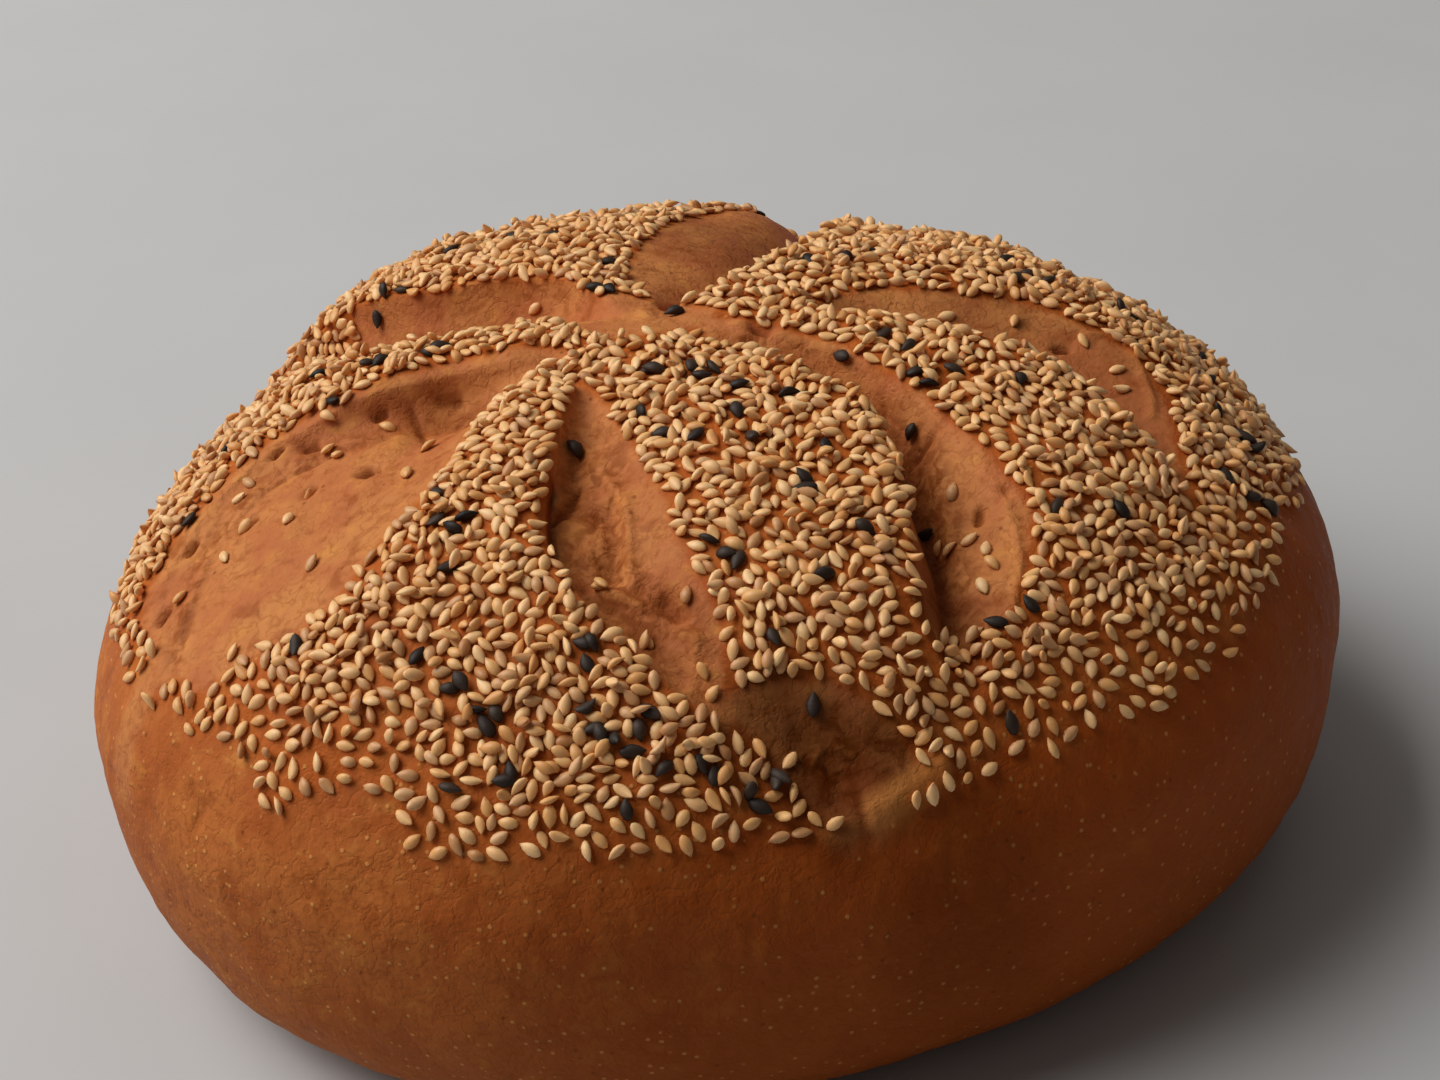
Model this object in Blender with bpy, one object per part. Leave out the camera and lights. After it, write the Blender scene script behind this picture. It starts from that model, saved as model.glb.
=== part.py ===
"""A round hearth-baked rye loaf, scored with six cuts that swirl out from its top.

Every cut has a steep wall under a raised lip on one side and a long bare slope
on the other. The crust between the cuts carries sesame seeds, and the largest
of them are fused to the loaf. The loaf stands on its flat underside at z = 0,
with +z up and -y towards its front. Sizes here are in millimetres.
"""

import math
import random

import bmesh
import bpy
import numpy as np
from mathutils import Matrix, Vector, geometry, noise
from mathutils.bvhtree import BVHTree

MM = 0.001

# The body: a flattened dome over a rounded-in side and a flat underside.
RADIUS = 100.0
HEIGHT = 86.5
WIDEST_AT = 37.0
BASE_RADIUS = 73.0
SHOULDER_ROUNDNESS = 2.3
SIDE_ROUNDNESS = 2.7

# The plan isn't a circle: each wave is (lobes round the loaf, share of the radius, degrees).
PLAN_WAVES = ((1, 0.007, -53.0), (2, 0.027, 29.0), (3, 0.029, -26.0))
RISE_TO_RIGHT = 0.016
RISE_TO_BACK = -0.003

# Where this loaf swells or sags: plan point (x, y), how far it spreads and how high it stands.
SWELLS = (
    ((-50, 60), 24.0, 2.0),
    ((14, 72), 12.0, 2.0),
    ((32, 60), 12.0, -2.0),
    ((-78, 42), 12.0, -3.5),
    ((-82, 14), 22.0, -3.2),
    ((13, -82), 10.0, -3.4),
    ((-37, -13), 8.0, -2.0),
)
SWELLS_FADE = (0.8, 1.0)

# Slow lumps of the dough: height and distance between them.
LUMP_HEIGHT = 0.9
LUMP_SPACING = 34.0

# The cuts, each named by where it runs out. The lip stands over the steep wall, and the rim ends
# the bare slope. Both run from the start to the end through their own plan points (x, y). From one
# reach to another the cut loses a share of its depth.
CUTS = {
    "front_right": {
        "start": (1, -5),
        "lip": ((23, -22), (29.5, -41), (31, -62)),
        "rim": ((21, -8), (40, -28), (49, -50)),
        "end": (35, -79),
        "bare_to": 77,
        "wall": 6.5,
        "depth": 9.5,
        "shallow": (46, 78, 0.6),
        "roundness": 1.8,
    },
    "right": {
        "start": (16, 2),
        "lip": ((36, -2.5), (55, -9.5), (67, -22)),
        "rim": ((34, 13), (57, 11), (74, -4)),
        "end": (75, -38),
        "bare_to": 100,
        "wall": 3.5,
        "depth": 6.0,
        "shallow": (60, 88, 0.4),
        "roundness": 1.7,
    },
    "back": {
        "start": (-3, 4),
        "lip": ((11, 17), (21, 34), (28, 57)),
        "rim": ((-9, 22), (-6, 40), (3, 62)),
        "end": (27, 90),
        "bare_to": 100,
        "wall": 4.5,
        "depth": 9.5,
        "shallow": (60, 90, 0.0),
        "roundness": 2.6,
    },
    "back_left": {
        "start": (-9, 4),
        "lip": ((-22, 22), (-43, 29), (-68, 42)),
        "rim": ((-31, 6), (-55, 12), (-78, 24)),
        "end": (-94, 48),
        "bare_to": 68,
        "wall": 5.5,
        "depth": 6.0,
        "shallow": (50, 85, 0.4),
        "roundness": 1.4,
    },
    "front_left": {
        "start": (-20, -9),
        "lip": ((-40, -7.5), (-65, -12), (-80, -25)),
        "rim": ((-30, -19), (-38, -36), (-54, -55), (-74, -56)),
        "end": (-85, -50),
        "bare_to": 93,
        "wall": 6.0,
        "depth": 3.6,
        "shallow": (38, 74, 0.85),
        "roundness": 1.1,
    },
    "front": {
        "start": (-17, -16),
        "lip": ((-20.5, -36), (-20.5, -56), (-9, -72)),
        "rim": ((-9, -32), (-2.5, -52), (2.5, -68)),
        "end": (4, -83),
        "bare_to": 100,
        "wall": 3.0,
        "depth": 4.0,
        "shallow": (50, 78, 0.4),
        "roundness": 1.5,
    },
}

# Outlines of the bare places outside the cuts: under the front cut, at the top, before the front
# right cut, and where the front left cut runs out.
BARE_PATCHES = (
    ((1, -79), (4, -76), (12, -74.5), (20, -75.5), (27, -79.5), (28, -84), (19, -90.5), (13, -87.5),
     (8, -83)),
    ((-20, 1), (-14, 10), (-6, 10), (1, 5), (5, 2), (2, -2), (-6, -5), (-13, -5)),
    ((1, 0), (9, -1), (18, -5), (25, -11), (31, -20), (28, -19), (21, -22), (16, -16), (9, -11), (3, -5)),
    ((-78, -42), (-83, -42.5), (-86, -46), (-91, -50), (-87, -55), (-82, -51), (-79, -51), (-74, -52),
     (-72, -48)),
)

# A cut has its full depth where it is wide enough. The lips and the ridges between the cuts stand
# up, less so towards the side.
FULL_DEPTH_WIDTH = 15.0
LIP_RISE = 1.3
LIP_SPREAD = 5.0
RIDGE_CROWN = 2.8
RIDGE_SPREAD = 9.0
CROWN_LOSS = 0.6
CROWN_FADE = (62.0, 88.0)
CUTS_FADE = (88.0, 103.0)
POINTS_PER_SPAN = 10

# The mesh of the crust.
GRID = 6.0
SIDE_RINGS = 6
CLEAR_OF_EDGES = 0.5
LOWEST_EDGE = 0.9
FEWEST_IN_RING = 6
ARC_STEPS = 400
TANGENT_STEP = 0.001
MERGE = 0.001

# The largest sesame seeds, fused to the crust.
SEED_COUNT = 132
SEED_LENGTH = 3.5
SEED_WIDTH = 2.1
SEED_THICKNESS = 1.2
SEED_SIZE_SPREAD = 0.08
SEED_LIFT = 0.12
SEED_SIDES = 5
SEED_TURN = 0.25
SEED_RINGS = ((-0.27, 0.62), (0.0, 0.92), (0.27, 0.80))
SEED_SPACING = 7.6
SEEDED_DOWN_TO = 0.74
BARE_MARGIN = 2.0
RANDOM_SEED = 11

CRUST_COLOUR = (0.40, 0.155, 0.052, 1.0)
CRUST_ROUGHNESS = 0.55
SEED_COLOUR = (0.66, 0.42, 0.20, 1.0)
SEED_ROUGHNESS = 0.45


def clear_scene():
    for thing in list(bpy.data.objects):
        bpy.data.objects.remove(thing, do_unlink=True)


def smooth(low, high, values):
    share = np.clip((values - low) / (high - low), 0.0, 1.0)
    return share * share * (3.0 - 2.0 * share)


def curve_through(points):
    """A smooth curve through the points, as a polyline."""
    knots = np.array(points, float)
    knots = np.vstack([2 * knots[0] - knots[1], knots, 2 * knots[-1] - knots[-2]])
    t = np.arange(POINTS_PER_SPAN)[:, None] / POINTS_PER_SPAN
    spans = []
    for before, start, end, after in zip(knots, knots[1:], knots[2:], knots[3:]):
        line = 2 * start + (end - before) * t
        bend = (2 * before - 5 * start + 4 * end - after) * t**2
        twist = (3 * start - before - 3 * end + after) * t**3
        spans.append(0.5 * (line + bend + twist))
    return np.vstack(spans + [knots[-2:-1]])


def lip_and_rim(cut):
    lip = curve_through((cut["start"], *cut["lip"], cut["end"]))
    rim = curve_through((cut["start"], *cut["rim"], cut["end"]))
    return lip, rim


def distance(plan, line):
    starts, steps = line[:-1], np.diff(line, axis=0)
    offset = plan[:, None, :] - starts[None]
    along = np.clip((offset * steps).sum(2) / (steps**2).sum(1), 0.0, 1.0)
    return np.sqrt(((offset - along[:, :, None] * steps) ** 2).sum(2).min(1))


def within(plan, outline):
    """True for the plan points inside a closed outline."""
    x, y = plan[:, 0, None], plan[:, 1, None]
    ends = np.roll(outline, -1, axis=0)
    straddles = (outline[:, 1] > y) != (ends[:, 1] > y)
    rise = np.where(ends[:, 1] == outline[:, 1], 1.0, ends[:, 1] - outline[:, 1])
    crossing = outline[:, 0] + (y - outline[:, 1]) / rise * (ends[:, 0] - outline[:, 0])
    return (straddles & (x < crossing)).sum(1) % 2 == 1


def cut_distances(plan, cut):
    """Distances of plan points from the lip and the rim of a cut, and which points lie in it."""
    lip, rim = lip_and_rim(cut)
    return distance(plan, lip), distance(plan, rim), within(plan, np.vstack([lip, rim[::-1]]))


def relief(plan):
    """Height of the crust over the plain dome."""
    height = np.zeros(len(plan))
    clear = np.full(len(plan), RADIUS)
    reach = np.hypot(plan[:, 0], plan[:, 1])
    for cut in CUTS.values():
        to_lip, to_rim, inside = cut_distances(plan, cut)
        wall = cut["wall"]
        first, last, loss = cut["shallow"]
        kept = 1.0 - loss * smooth(first, last, reach)
        deep = cut["depth"] * kept * smooth(0.0, FULL_DEPTH_WIDTH, to_lip + to_rim)
        slope = np.maximum(to_lip + to_rim - wall, 1.0)
        up_slope = np.clip((to_lip - wall) / slope, 0.0, 1.0)
        share = smooth(0.0, wall, to_lip) * (1.0 - up_slope) ** cut["roundness"]
        near_lip = LIP_RISE * kept * smooth(0.0, wall, to_rim - to_lip)
        over_wall = near_lip * (1.0 - smooth(0.0, wall / 2, to_lip))
        behind_lip = near_lip * np.exp(-((to_lip / LIP_SPREAD) ** 2))
        height += np.where(inside, over_wall - deep * share, behind_lip)
        clear = np.minimum(clear, np.where(inside, -1.0, 1.0) * np.minimum(to_lip, to_rim))
    crown = RIDGE_CROWN * (1.0 - CROWN_LOSS * smooth(*CROWN_FADE, reach))
    crown = crown * smooth(-RIDGE_SPREAD, RIDGE_SPREAD, clear)
    return (1.0 - smooth(*CUTS_FADE, reach)) * (height + crown)


def swells(plan, down):
    """How far this loaf swells or sags, less and less towards its widest ring."""
    swell = np.zeros(len(plan))
    for place, spread, rise in SWELLS:
        away = np.hypot(plan[:, 0] - place[0], plan[:, 1] - place[1])
        swell += rise * np.exp(-((away / spread) ** 2))
    return swell * (1.0 - smooth(*SWELLS_FADE, down))


def off_bare(plan):
    """Distance outside the nearest bare place, where no seeds lie."""
    clear = np.full(len(plan), RADIUS)
    for patch in BARE_PATCHES:
        edge = curve_through((*patch, patch[0]))
        clear = np.minimum(clear, distance(plan, edge) * np.where(within(plan, edge), -1.0, 1.0))
    for cut in CUTS.values():
        to_lip, to_rim, inside = cut_distances(plan, cut)
        outside = np.where(inside, -1.0, 1.0) * np.minimum(to_lip, to_rim)
        seeded = np.hypot(plan[:, 0], plan[:, 1]) > cut["bare_to"]
        clear = np.minimum(clear, np.where(seeded, RADIUS, outside))
    return clear


def uneven(turn):
    share = np.ones(np.shape(turn))
    for lobes, wave, towards in PLAN_WAVES:
        share += wave * np.cos(lobes * turn - math.radians(towards))
    return share


def dome(down, turn):
    """Points of the plain dome. Down is 0 at its top, 1 at its widest and 2 at its underside."""
    over = np.clip(down, 0.0, 1.0) * math.pi / 2
    under = np.clip(down - 1.0, 0.0, 1.0) * math.pi / 2
    side = BASE_RADIUS + (RADIUS - BASE_RADIUS) * np.cos(under) ** (2 / SIDE_ROUNDNESS)
    radius = np.where(down < 1.0, RADIUS * np.sin(over) ** (2 / SHOULDER_ROUNDNESS), side)
    top = WIDEST_AT + (HEIGHT - WIDEST_AT) * np.cos(over)
    height = np.where(down < 1.0, top, WIDEST_AT * (1.0 - np.sin(under) ** (2 / SIDE_ROUNDNESS)))
    x = radius * uneven(turn) * np.cos(turn)
    y = radius * uneven(turn) * np.sin(turn)
    return np.column_stack([x, y, height * (1.0 + (RISE_TO_RIGHT * x + RISE_TO_BACK * y) / RADIUS)])


def on_dome(plan):
    """How far down the dome and in which direction each plan point lies."""
    turn = np.arctan2(plan[:, 1], plan[:, 0])
    share = np.hypot(plan[:, 0], plan[:, 1]) / uneven(turn) / RADIUS
    down = np.arcsin(np.clip(share, 0.0, 1.0) ** (SHOULDER_ROUNDNESS / 2)) * 2 / math.pi
    return down, turn


def outward(down, turn):
    """Unit normals of the dome, from its tangents."""
    down = np.clip(down, 2 * TANGENT_STEP, 2.0 - 2 * TANGENT_STEP)
    fall = dome(down + TANGENT_STEP, turn) - dome(down - TANGENT_STEP, turn)
    sweep = dome(down, turn + TANGENT_STEP) - dome(down, turn - TANGENT_STEP)
    normal = np.cross(fall, sweep)
    return normal / np.linalg.norm(normal, axis=1)[:, None]


def lumps(points):
    heights = [noise.noise(Vector(spot)) for spot in points / LUMP_SPACING]
    return LUMP_HEIGHT * np.array(heights)


def crust(down, turn):
    """Points of the loaf's surface."""
    plain = dome(down, turn)
    shaped = relief(plain[:, :2]) + swells(plain[:, :2], down)
    height = np.where(down < 1.0, shaped, 0.0) + lumps(plain) * smooth(0.0, 1.0, 2.0 - down)
    return plain + outward(down, turn) * height[:, None]


def ring(down, count, twist):
    return np.full(count, down), 2 * math.pi * (np.arange(count) + twist) / count


def edge_lines():
    """The lips, the feet of the walls and the rims, as plan lines with a point each grid step."""
    lines = []
    for cut in CUTS.values():
        lip, rim = lip_and_rim(cut)
        steps = np.diff(lip, axis=0)
        inward = np.column_stack([-steps[:, 1], steps[:, 0]])
        inward = inward / np.linalg.norm(inward, axis=1)[:, None]
        foot = (lip[1:] + lip[:-1]) / 2 + inward * cut["wall"]
        inside = within(foot, np.vstack([lip, rim[::-1]]))
        foot = foot[inside & (distance(foot, rim) > cut["wall"])]
        lines += [even(lip), even(foot), even(rim)]
    return lines


def even(line):
    """The line with its points spread about one grid step apart."""
    lengths = np.linalg.norm(np.diff(line, axis=0), axis=1)
    along = np.concatenate([[0.0], np.cumsum(lengths)])
    stops = np.linspace(0.0, along[-1], max(2, round(along[-1] / GRID) + 1))
    return np.column_stack([np.interp(stops, along, line[:, axis]) for axis in (0, 1)])


def arc_lengths():
    """Steps down the dome from its top to its widest ring, and how far along the crust each lies."""
    steps = np.linspace(0.0, 1.0, ARC_STEPS)
    gaps = np.linalg.norm(np.diff(dome(steps, np.zeros(ARC_STEPS)), axis=0), axis=1)
    return steps, np.concatenate([[0.0], np.cumsum(gaps)])


def laid_flat(down, turn):
    """The dome's points pressed flat, each as far from the middle as along the crust."""
    reach = np.interp(down, *arc_lengths())
    return np.column_stack([reach * np.cos(turn), reach * np.sin(turn)])


def from_flat(spots):
    steps, along = arc_lengths()
    return np.interp(np.hypot(spots[:, 0], spots[:, 1]), along, steps), np.arctan2(spots[:, 1], spots[:, 0])


def top_grid():
    """Points and edges of the mesh over the dome, laid flat, with the widest ring first."""
    steps, along = arc_lengths()
    widest = round(2 * math.pi * RADIUS / GRID)
    spots = [laid_flat(*ring(1.0, widest, 0.0))]
    lines = edge_lines()
    ring_count = round(along[-1] / GRID)
    for number in range(1, ring_count):
        reach = number * along[-1] / ring_count
        count = max(FEWEST_IN_RING, round(min(widest, 2 * math.pi * reach / GRID)))
        every_other = number % 2 / 2
        down, turn = ring(np.interp(reach, along, steps), count, every_other)
        plan = dome(down, turn)[:, :2]
        gaps = np.min([distance(plan, line) for line in lines], axis=0)
        spots.append(laid_flat(down, turn)[gaps > CLEAR_OF_EDGES * GRID])
    spots = np.vstack(spots)
    edges = [(spot, (spot + 1) % widest) for spot in range(widest)]
    for line in lines:
        first = len(spots)
        down, turn = on_dome(line)
        upper = down < LOWEST_EDGE
        spots = np.vstack([spots, laid_flat(down[upper], turn[upper])])
        edges += [(spot, spot + 1) for spot in range(first, len(spots) - 1)]
    return spots, edges, widest


def make_material(name, colour, roughness):
    material = bpy.data.materials.new(name)
    material.use_nodes = True
    shader = material.node_tree.nodes["Principled BSDF"]
    shader.inputs["Base Color"].default_value = colour
    shader.inputs["Roughness"].default_value = roughness
    shader.inputs["Metallic"].default_value = 0.0
    return material


def make_core(materials):
    """The loaf without seeds, its mesh edges lying along the cuts."""
    spots, edges, widest = top_grid()
    flat = [Vector(spot) for spot in spots]
    spots, _, faces, sources, _, _ = geometry.delaunay_2d_cdt(flat, edges, [], 1, MERGE, True)
    shape = bmesh.new()
    top = [shape.verts.new(Vector(spot) * MM) for spot in crust(*from_flat(np.array(spots)))]
    for face in faces:
        shape.faces.new([top[corner] for corner in face])
    place = {source: spot for spot, kept in enumerate(sources) for source in kept}
    upper = [top[place[spot]] for spot in range(widest)]
    for number in range(1, SIDE_RINGS + 1):
        spots = crust(*ring(1.0 + number / SIDE_RINGS, widest, 0.0))
        lower = [shape.verts.new(Vector(spot) * MM) for spot in spots]
        for spot in range(widest):
            after = (spot + 1) % widest
            shape.faces.new((upper[spot], lower[spot], lower[after], upper[after]))
        upper = lower
    middle = shape.verts.new((0.0, 0.0, 0.0))
    for spot in range(widest):
        shape.faces.new((middle, upper[(spot + 1) % widest], upper[spot]))
    bmesh.ops.recalc_face_normals(shape, faces=shape.faces)
    bmesh.ops.triangulate(shape, faces=shape.faces)
    mesh = bpy.data.meshes.new("loaf")
    shape.to_mesh(mesh)
    shape.free()
    for material in materials:
        mesh.materials.append(material)
    core = bpy.data.objects.new("loaf", mesh)
    bpy.context.collection.objects.link(core)
    return core


def seed_mesh(materials):
    """A flat teardrop along x, one unit long, wide and thick."""
    shape = bmesh.new()
    tail = shape.verts.new((-0.5, 0.0, 0.0))
    nose = shape.verts.new((0.5, 0.0, 0.0))
    turns = [2 * math.pi * (side + SEED_TURN) / SEED_SIDES for side in range(SEED_SIDES)]
    rings = [
        [shape.verts.new((x, width / 2 * math.cos(turn), width / 2 * math.sin(turn))) for turn in turns]
        for x, width in SEED_RINGS
    ]
    for side in range(SEED_SIDES):
        after = (side + 1) % SEED_SIDES
        shape.faces.new((tail, rings[0][after], rings[0][side]))
        for near, far in zip(rings, rings[1:]):
            shape.faces.new((near[side], near[after], far[after], far[side]))
        shape.faces.new((nose, rings[-1][side], rings[-1][after]))
    bmesh.ops.recalc_face_normals(shape, faces=shape.faces)
    bmesh.ops.triangulate(shape, faces=shape.faces)
    for face in shape.faces:
        face.material_index = 1
    mesh = bpy.data.meshes.new("seed")
    shape.to_mesh(mesh)
    shape.free()
    for material in materials:
        mesh.materials.append(material)
    return mesh


def seed_places(draw):
    """Plan points spread evenly over the seeded ridges, clear of the bare cuts."""
    places = []
    while len(places) < SEED_COUNT:
        radius = RADIUS * math.sqrt(draw.random())
        turn = draw.uniform(0.0, 2 * math.pi)
        place = (radius * math.cos(turn), radius * math.sin(turn))
        if all(math.dist(place, other) > SEED_SPACING for other in places):
            spot = np.array([place])
            if off_bare(spot)[0] > BARE_MARGIN and on_dome(spot)[0][0] < SEEDED_DOWN_TO:
                places.append(place)
    return places


def scatter_seeds(core, materials):
    """Seeds lying on the crust, half sunk in it, each turned its own way."""
    draw = random.Random(RANDOM_SEED)
    shape = bmesh.new()
    shape.from_mesh(core.data)
    surface = BVHTree.FromBMesh(shape)
    shape.free()
    group = bpy.data.collections.new("seeds")
    mesh = seed_mesh(materials)
    sizes = Matrix.Diagonal((SEED_LENGTH * MM, SEED_WIDTH * MM, SEED_THICKNESS * MM, 1.0))
    for x, y in seed_places(draw):
        above = Vector((x * MM, y * MM, 2 * HEIGHT * MM))
        spot, normal, _, _ = surface.ray_cast(above, Vector((0.0, 0.0, -1.0)))
        seed = bpy.data.objects.new("seed", mesh)
        lift = Matrix.Translation(spot + normal * SEED_LIFT * MM)
        lie = normal.to_track_quat("Z", "Y").to_matrix().to_4x4()
        turned = Matrix.Rotation(draw.uniform(0.0, 2 * math.pi), 4, "Z")
        size = Matrix.Scale(1.0 + draw.uniform(-SEED_SIZE_SPREAD, SEED_SIZE_SPREAD), 4)
        seed.matrix_world = lift @ lie @ turned @ sizes @ size
        group.objects.link(seed)
    return group


def fuse(core, group):
    """Joins the seeds to the loaf with one union, and removes them."""
    bpy.context.scene.collection.children.link(group)
    bpy.context.view_layer.update()
    join = core.modifiers.new("fuse_seeds", "BOOLEAN")
    join.operation = "UNION"
    join.operand_type = "COLLECTION"
    join.collection = group
    join.solver = "EXACT"
    with bpy.context.temp_override(object=core, active_object=core, selected_objects=[core]):
        bpy.ops.object.modifier_apply(modifier=join.name)
    for seed in list(group.objects):
        bpy.data.objects.remove(seed, do_unlink=True)
    bpy.data.collections.remove(group)


def main():
    clear_scene()
    materials = (
        make_material("crust", CRUST_COLOUR, CRUST_ROUGHNESS),
        make_material("sesame", SEED_COLOUR, SEED_ROUGHNESS),
    )
    loaf = make_core(materials)
    fuse(loaf, scatter_seeds(loaf, materials))
    loaf.data.shade_smooth()


main()
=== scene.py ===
"""The looks of a round rye loaf: its crust, its sesame seeds, a floor, studio light and a camera.

Shapes are worked out in millimetres in the loaf's own frame, with +z up and -y to its front.
"""

import math
import random

import bpy
import numpy as np
from mathutils import Matrix, Vector, geometry, noise
from mathutils.bvhtree import BVHTree


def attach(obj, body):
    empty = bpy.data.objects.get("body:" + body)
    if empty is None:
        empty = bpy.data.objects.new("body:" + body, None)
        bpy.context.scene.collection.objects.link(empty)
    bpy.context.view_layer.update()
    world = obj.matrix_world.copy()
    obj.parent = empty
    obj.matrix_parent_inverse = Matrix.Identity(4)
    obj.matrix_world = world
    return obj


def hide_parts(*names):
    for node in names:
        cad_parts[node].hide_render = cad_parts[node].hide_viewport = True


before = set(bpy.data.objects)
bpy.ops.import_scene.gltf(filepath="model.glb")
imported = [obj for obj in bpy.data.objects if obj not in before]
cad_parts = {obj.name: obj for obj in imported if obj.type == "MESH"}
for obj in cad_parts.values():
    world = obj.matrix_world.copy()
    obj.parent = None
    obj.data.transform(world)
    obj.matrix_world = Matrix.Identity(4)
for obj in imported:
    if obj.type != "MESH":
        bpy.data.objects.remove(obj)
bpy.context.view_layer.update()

MM = 0.001

# The body: a flattened dome over a rounded-in side and a flat underside.
RADIUS = 100.0
HEIGHT = 86.5
WIDEST_AT = 37.0
BASE_RADIUS = 73.0
SHOULDER_ROUNDNESS = 2.3
SIDE_ROUNDNESS = 2.7
PLAN_WAVES = ((1, 0.007, -53.0), (2, 0.027, 29.0), (3, 0.029, -26.0))
RISE_TO_RIGHT = 0.016
RISE_TO_BACK = -0.003
SWELLS = (
    ((-50, 60), 24.0, 2.0),
    ((14, 72), 12.0, 2.0),
    ((32, 60), 12.0, -2.0),
    ((-78, 42), 12.0, -3.5),
    ((-82, 14), 22.0, -3.2),
    ((13, -82), 10.0, -3.4),
    ((-37, -13), 8.0, -2.0),
)
SWELLS_FADE = (0.8, 1.0)
LUMP_HEIGHT = 0.9
LUMP_SPACING = 34.0

# Each cut has a lip over a steep wall, and a rim that ends its bare slope. It gets shallower from one
# reach to another, by a share. Seeds reach over the wall, and the foot of the wall is torn.
CUTS = {
    "front_right": dict(
        start=(1, -5), lip=((23, -22), (29.5, -41), (31, -62)),
        end=(35, -79), rim=((21, -8), (40, -28), (49, -50)),
        wall=6.5, depth=9.5, shallow=(46, 78, 0.6), roundness=1.8,
        seeds_over=0.6, bare_to=77, torn=4.0,
    ),
    "right": dict(
        start=(16, 2), lip=((36, -2.5), (55, -9.5), (67, -22)),
        end=(75, -38), rim=((34, 13), (57, 11), (74, -4)),
        wall=3.5, depth=6.0, shallow=(60, 88, 0.4), roundness=1.7,
        seeds_over=0.3, bare_to=100, torn=3.0,
    ),
    "back": dict(
        start=(-3, 4), lip=((11, 17), (21, 34), (28, 57)),
        end=(27, 90), rim=((-9, 22), (-6, 40), (3, 62)),
        wall=4.5, depth=9.5, shallow=(60, 90, 0.0), roundness=2.6,
        seeds_over=0.3, bare_to=100, torn=2.0,
    ),
    "back_left": dict(
        start=(-9, 4), lip=((-22, 22), (-43, 29), (-68, 42)),
        end=(-94, 48), rim=((-31, 6), (-55, 12), (-78, 24)),
        wall=5.5, depth=6.0, shallow=(50, 85, 0.4), roundness=1.4,
        seeds_over=0.4, bare_to=68, torn=1.0,
    ),
    "front_left": dict(
        start=(-20, -9), lip=((-40, -7.5), (-65, -12), (-80, -25)),
        end=(-85, -50), rim=((-30, -19), (-38, -36), (-54, -55), (-74, -56)),
        wall=6.0, depth=3.6, shallow=(38, 74, 0.85), roundness=1.1,
        seeds_over=-2.3, bare_to=93, torn=1.0,
    ),
    "front": dict(
        start=(-17, -16), lip=((-20.5, -36), (-20.5, -56), (-9, -72)),
        end=(4, -83), rim=((-9, -32), (-2.5, -52), (2.5, -68)),
        wall=3.0, depth=4.0, shallow=(50, 78, 0.4), roundness=1.5,
        seeds_over=0.0, bare_to=100, torn=10.0,
    ),
}
# Outlines of further places without seeds.
BARE_PATCHES = (
    ((1, -79), (4, -76), (12, -74.5), (20, -75.5), (27, -79.5), (28, -84), (19, -90.5), (13, -87.5),
     (8, -83)),
    ((-20, 1), (-14, 10), (-6, 10), (1, 5), (5, 2), (2, -2), (-6, -5), (-13, -5)),
    ((1, 0), (9, -1), (18, -5), (25, -11), (31, -20), (28, -19), (21, -22), (16, -16), (9, -11),
     (3, -5)),
    ((-78, -42), (-83, -42.5), (-86, -46), (-91, -50), (-87, -55), (-82, -51), (-79, -51), (-74, -52),
     (-72, -48)),
)

# The cuts: the plan width at which one is fully deep, the raised lip over its wall, and the crown of the
# ridges between them. All of it fades towards the side.
FULL_DEPTH_WIDTH = 15.0
LEAST_SLOPE = 1.0
LIP_RISE = 1.3
LIP_SPREAD = 5.0
RIDGE_CROWN = 2.8
RIDGE_SPREAD = 9.0
CROWN_LOSS = 0.6
CROWN_FADE = (62.0, 88.0)
CUTS_FADE = (88.0, 103.0)
# The wall leans out over its torn foot, which starts at a share of the wall, fades from a share of its
# own width to a little past it, and ends short of the rim. Its strands are folds and fibres: how high,
# wide and long they are, and how far their noise is shifted from cut to cut.
OVERHANG = 1.1
TEAR_FROM = 0.4
TEAR_FULL_TO = 0.6
TEAR_PAST = 1.0
TEAR_OFF_RIM = 3.0
STRANDS = ((1.0, 2.6, 9.0, 3.7), (0.40, 1.1, 5.0, 5.3))
# Grain: spacings and heights. It fades under the loaf, and most of it on leaning walls.
GRAINS = ((11.0, 0.42), (4.2, 0.19), (1.9, 0.09))
GRAIN_SHIFT = 9.0
GRAIN_FADE = 0.25
WALL_LEAN = 0.8
WALL_SMOOTHNESS = 0.8

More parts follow.
